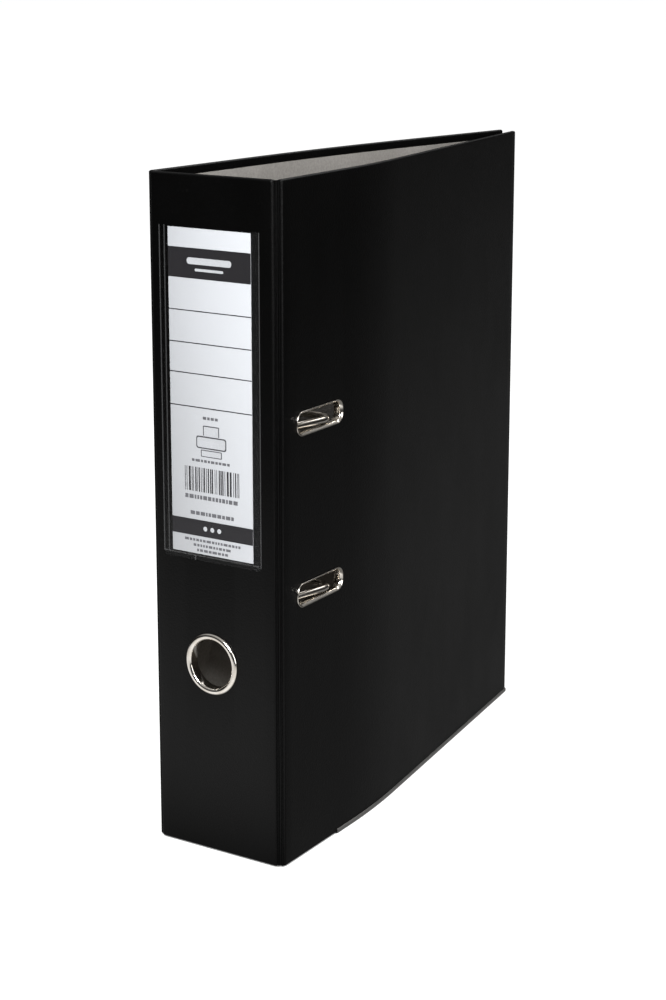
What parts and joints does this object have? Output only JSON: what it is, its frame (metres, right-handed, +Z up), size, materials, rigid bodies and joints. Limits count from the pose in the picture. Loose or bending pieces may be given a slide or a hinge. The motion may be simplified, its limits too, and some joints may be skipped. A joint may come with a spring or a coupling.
{
  "type": "lever arch file",
  "caption": "A4 ring binder of the lever arch kind: film-wrapped board covers and spine, label pocket, finger ring, lined arch slots, edge rails and a lever arch mechanism.",
  "frame": {"origin": "on the floor, below the middle of the box round the closed file", "axes": "+Z up, +Y from the spine towards the free edges of the covers, +X towards the front cover"},
  "size_m": [0.0752, 0.2858, 0.318],
  "materials": {
    "film": "satin black polypropylene film, lightly grained",
    "board": "grey board, raw",
    "lining": "matt grey lining paper, faintly mottled",
    "chrome": "bright chrome plate",
    "nickel": "bright nickel-plated pressed steel",
    "spring_steel": "spring steel",
    "rail": "nickel-plated rolled edge rail",
    "pocket": "clear soft film, welded edges",
    "card": "white printed card with dark bands and ruled lines, no lettering",
    "roller": "off-white plastic"
  },
  "bodies": {
    "back_cover": {"back_board": "board", "back_film": "film", "back_lining": "lining", "back_edge_rail": "rail", "base_plate": "nickel", "rivet_1": "nickel", "rivet_2": "nickel", "rivet_3": "nickel", "rivet_4": "nickel", "lower_post": "nickel", "upper_post": "nickel", "lever_pivot_pin": "nickel", "arch_spring": "spring_steel"},
    "spine": {"spine_board": "board", "spine_film": "film", "spine_lining": "lining", "left_hinge_strip": "film", "right_hinge_strip": "film", "label_pocket": "pocket", "finger_ring": "chrome", "finger_ring_washer": "nickel"},
    "front_cover": {"front_board": "board", "front_film": "film", "front_lining": "lining", "front_edge_rail": "rail", "upper_slot_eyelet": "chrome", "lower_slot_eyelet": "chrome", "upper_slot_frame": "nickel", "lower_slot_frame": "nickel"},
    "arches": {"arch_wire": "chrome"},
    "lever": {"lever": "nickel", "roller_pin": "nickel"},
    "roller": {"roller": "roller"},
    "compressor": {"compressor_bar": "nickel", "catch_pin": "nickel"},
    "catch": {"compressor_catch": "spring_steel"},
    "label": {"label_card": "card"}
  },
  "joints": [
    {"name": "spine_hinge", "type": "hinge", "parent": "back_cover", "child": "spine", "pos_m": [-0.03497, -0.14031, 0.159], "axis": [0, 0, -1], "range_deg": [0, 90], "stiffness_Nm_per_rad": 0.05},
    {"name": "front_cover_hinge", "type": "hinge", "parent": "spine", "child": "front_cover", "pos_m": [0.03603, -0.14031, 0.159], "axis": [0, 0, -1], "range_deg": [0, 170], "stiffness_Nm_per_rad": 0.05},
    {"name": "arch_pivot", "type": "hinge", "parent": "back_cover", "child": "arches", "pos_m": [-0.02967, -0.12866, 0.1655], "axis": [0, 0, -1], "range_deg": [0, 45]},
    {"name": "lever_pivot", "type": "hinge", "parent": "back_cover", "child": "lever", "pos_m": [-0.01943, -0.12016, 0.1808], "axis": [0, 1, 0], "range_deg": [0, 67.5]},
    {"name": "roller_spin", "type": "hinge", "parent": "lever", "child": "roller", "pos_m": [-0.02368, -0.12016, 0.18504], "axis": [0, 1, 0], "continuous": true},
    {"name": "compressor_slide", "type": "slide", "parent": "back_cover", "child": "compressor", "axis": [1, 0, 0], "range_m": [0, 0.036]},
    {"name": "catch_tilt", "type": "hinge", "parent": "compressor", "child": "catch", "pos_m": [-0.02637, -0.09516, 0.1115], "axis": [0, 1, 0], "range_deg": [0, 10]},
    {"name": "label_slide", "type": "slide", "parent": "spine", "child": "label", "axis": [0, 0, 1], "range_m": [0, 0.15]}
  ],
  "couplings": [
    {"joint": "arch_pivot", "follows": "spine_hinge", "ratio": 0.5},
    {"joint": "lever_pivot", "follows": "spine_hinge", "ratio": 0.75}
  ]
}
